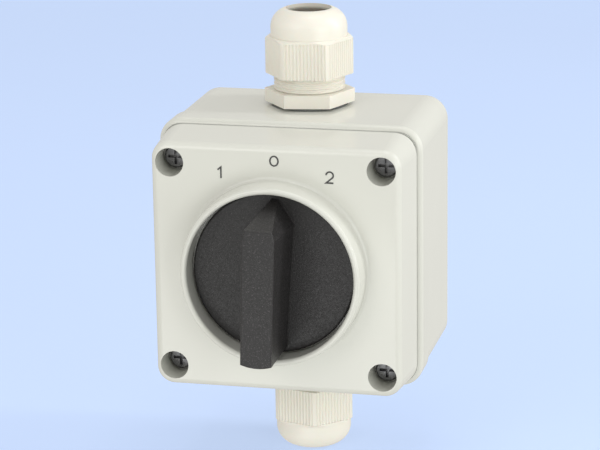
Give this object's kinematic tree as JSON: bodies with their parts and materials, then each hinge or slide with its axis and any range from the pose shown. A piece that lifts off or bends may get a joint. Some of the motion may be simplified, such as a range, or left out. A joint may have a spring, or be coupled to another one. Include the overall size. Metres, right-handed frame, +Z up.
{
  "type": "rotary isolator switch",
  "caption": "Wall-mounted rotary cam switch in a square insulated enclosure, with a pointer knob in a raised collar and a cable gland at the top and the bottom.",
  "frame": {"origin": "centre of the enclosure's flat back face, which lies on the wall", "axes": "+Y into the wall (the knob faces -Y), +Z up along the gland axis, +X to the right seen from the front"},
  "size_m": [0.09, 0.0978, 0.1558],
  "materials": {
    "enclosure": "glossy moulded light grey",
    "gland_plastic": "satin moulded ivory",
    "knob_plastic": "fine-textured matte black",
    "switch_plastic": "moulded dark grey",
    "rotor_plastic": "moulded natural",
    "zinc_steel": "zinc plated",
    "spring_steel": "bright spring steel",
    "copper": "bare copper alloy",
    "grey_rubber": "matte grey rubber",
    "black_rubber": "matte black rubber",
    "dark_print": "printed"
  },
  "bodies": {
    "enclosure": {"base_box": "enclosure", "cover": "enclosure", "cover_gasket": "grey_rubber", "cover_screws": "zinc_steel", "position_marks": "dark_print", "shaft_seal": "black_rubber", "mounting_plate": "zinc_steel", "plate_screws": "zinc_steel", "rear_plate": "switch_plastic", "tie_screws": "zinc_steel", "front_plate": "zinc_steel", "detent_housing": "switch_plastic", "detent_springs": "spring_steel", "deck_1": "switch_plastic", "contact_springs_1": "spring_steel", "terminals_1": "copper", "terminal_screws_1": "zinc_steel", "deck_2": "switch_plastic", "contact_springs_2": "spring_steel", "terminals_2": "copper", "terminal_screws_2": "zinc_steel", "deck_3": "switch_plastic", "contact_springs_3": "spring_steel", "terminals_3": "copper", "terminal_screws_3": "zinc_steel", "top_gland_body": "gland_plastic", "top_flat_seal": "grey_rubber", "top_locknut": "gland_plastic", "bottom_gland_body": "gland_plastic", "bottom_flat_seal": "grey_rubber", "bottom_locknut": "gland_plastic"},
    "rotor": {"knob": "knob_plastic", "knob_insert": "knob_plastic", "knob_screw": "zinc_steel", "shaft": "zinc_steel", "star_wheel": "rotor_plastic", "cam_1": "rotor_plastic", "cam_2": "rotor_plastic", "cam_3": "rotor_plastic"},
    "left_contact_1": {"left_plunger_1": "rotor_plastic", "left_bridge_1": "copper"},
    "right_contact_1": {"right_plunger_1": "rotor_plastic", "right_bridge_1": "copper"},
    "left_contact_2": {"left_plunger_2": "rotor_plastic", "left_bridge_2": "copper"},
    "right_contact_2": {"right_plunger_2": "rotor_plastic", "right_bridge_2": "copper"},
    "left_contact_3": {"left_plunger_3": "rotor_plastic", "left_bridge_3": "copper"},
    "right_contact_3": {"right_plunger_3": "rotor_plastic", "right_bridge_3": "copper"},
    "top_seal_pack": {"top_clamp_cage": "gland_plastic", "top_rubber_seal": "grey_rubber"},
    "top_nut": {"top_cap_nut": "gland_plastic"},
    "bottom_seal_pack": {"bottom_clamp_cage": "gland_plastic", "bottom_rubber_seal": "grey_rubber"},
    "bottom_nut": {"bottom_cap_nut": "gland_plastic"}
  },
  "joints": [
    {"name": "knob_turn", "type": "hinge", "parent": "enclosure", "child": "rotor", "pos_m": [0, -0.072, 0], "axis": [0, 1, 0], "range_deg": [-30, 30], "deforming": ["detent_springs"]},
    {"name": "left_plunger_slide_1", "type": "slide", "parent": "enclosure", "child": "left_contact_1", "axis": [-1, 0, 0], "range_m": [-0.0013, 0.0013], "deforming": ["contact_springs_1"]},
    {"name": "right_plunger_slide_1", "type": "slide", "parent": "enclosure", "child": "right_contact_1", "axis": [1, 0, 0], "range_m": [-0.0013, 0.0013]},
    {"name": "left_plunger_slide_2", "type": "slide", "parent": "enclosure", "child": "left_contact_2", "axis": [-1, 0, 0], "range_m": [-0.0013, 0.0013], "deforming": ["contact_springs_2"]},
    {"name": "right_plunger_slide_2", "type": "slide", "parent": "enclosure", "child": "right_contact_2", "axis": [1, 0, 0], "range_m": [-0.0013, 0.0013]},
    {"name": "left_plunger_slide_3", "type": "slide", "parent": "enclosure", "child": "left_contact_3", "axis": [-1, 0, 0], "range_m": [-0.0013, 0.0013], "deforming": ["contact_springs_3"]},
    {"name": "right_plunger_slide_3", "type": "slide", "parent": "enclosure", "child": "right_contact_3", "axis": [1, 0, 0], "range_m": [-0.0013, 0.0013]},
    {"name": "top_seal_lift", "type": "slide", "parent": "enclosure", "child": "top_seal_pack", "axis": [0, 0, 1], "range_m": [0, 0.0043]},
    {"name": "top_nut_turn", "type": "hinge", "parent": "top_seal_pack", "child": "top_nut", "pos_m": [0, -0.02, 0.06], "axis": [0, 0, 1], "range_deg": [0, 1080]},
    {"name": "bottom_seal_lift", "type": "slide", "parent": "enclosure", "child": "bottom_seal_pack", "axis": [0, 0, -1], "range_m": [0, 0.0043]},
    {"name": "bottom_nut_turn", "type": "hinge", "parent": "bottom_seal_pack", "child": "bottom_nut", "pos_m": [0, -0.02, -0.06], "axis": [0, 0, -1], "range_deg": [0, 1080]}
  ],
  "couplings": [
    {"joint": "left_plunger_slide_1", "follows": "knob_turn", "m_per_rad": 0.0022918},
    {"joint": "right_plunger_slide_1", "follows": "knob_turn", "m_per_rad": -0.0022918},
    {"joint": "left_plunger_slide_2", "follows": "knob_turn", "m_per_rad": 0.0022918},
    {"joint": "right_plunger_slide_2", "follows": "knob_turn", "m_per_rad": -0.0022918},
    {"joint": "left_plunger_slide_3", "follows": "knob_turn", "m_per_rad": 0.0022918},
    {"joint": "right_plunger_slide_3", "follows": "knob_turn", "m_per_rad": -0.0022918},
    {"joint": "top_seal_lift", "follows": "top_nut_turn", "m_per_rad": 0.00022441},
    {"joint": "bottom_seal_lift", "follows": "bottom_nut_turn", "m_per_rad": 0.00022441}
  ]
}
